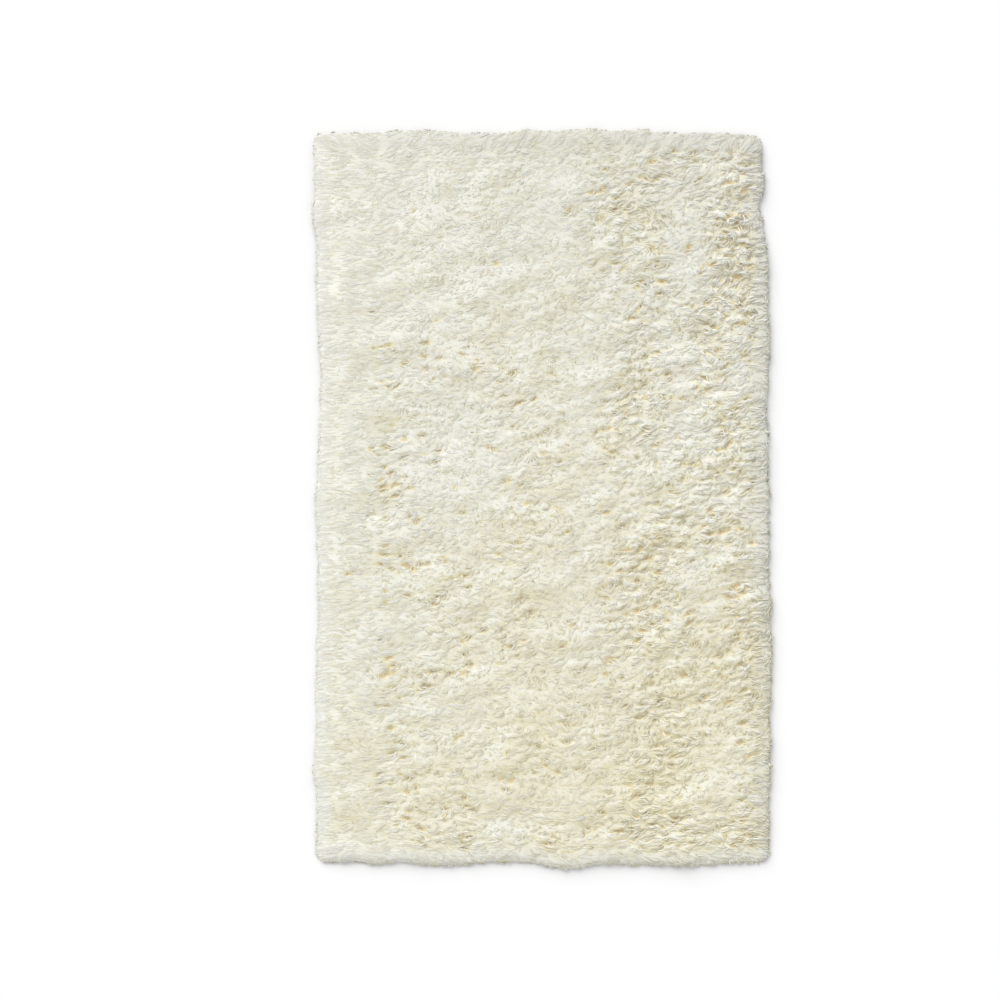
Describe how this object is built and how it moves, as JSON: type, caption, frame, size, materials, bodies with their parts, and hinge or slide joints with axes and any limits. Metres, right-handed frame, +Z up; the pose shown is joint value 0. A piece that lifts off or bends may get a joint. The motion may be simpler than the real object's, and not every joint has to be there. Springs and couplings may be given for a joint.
{
  "type": "shag rug",
  "caption": "Rectangular shag rug in ivory wool, a lumpy slab of long combed pile with loose locks round its rim, lying flat on the floor.",
  "frame": {"origin": "on the floor, under the middle of the rug's outer box", "axes": "+Y along the rug's long sides, +X across the rug, +Z up out of the pile"},
  "size_m": [1.5432, 2.4676, 0.0468],
  "materials": {
    "ivory_wool": "matte long pile of wool yarn"
  },
  "bodies": {
    "root": {"shag_rug": "ivory_wool"}
  },
  "joints": []
}
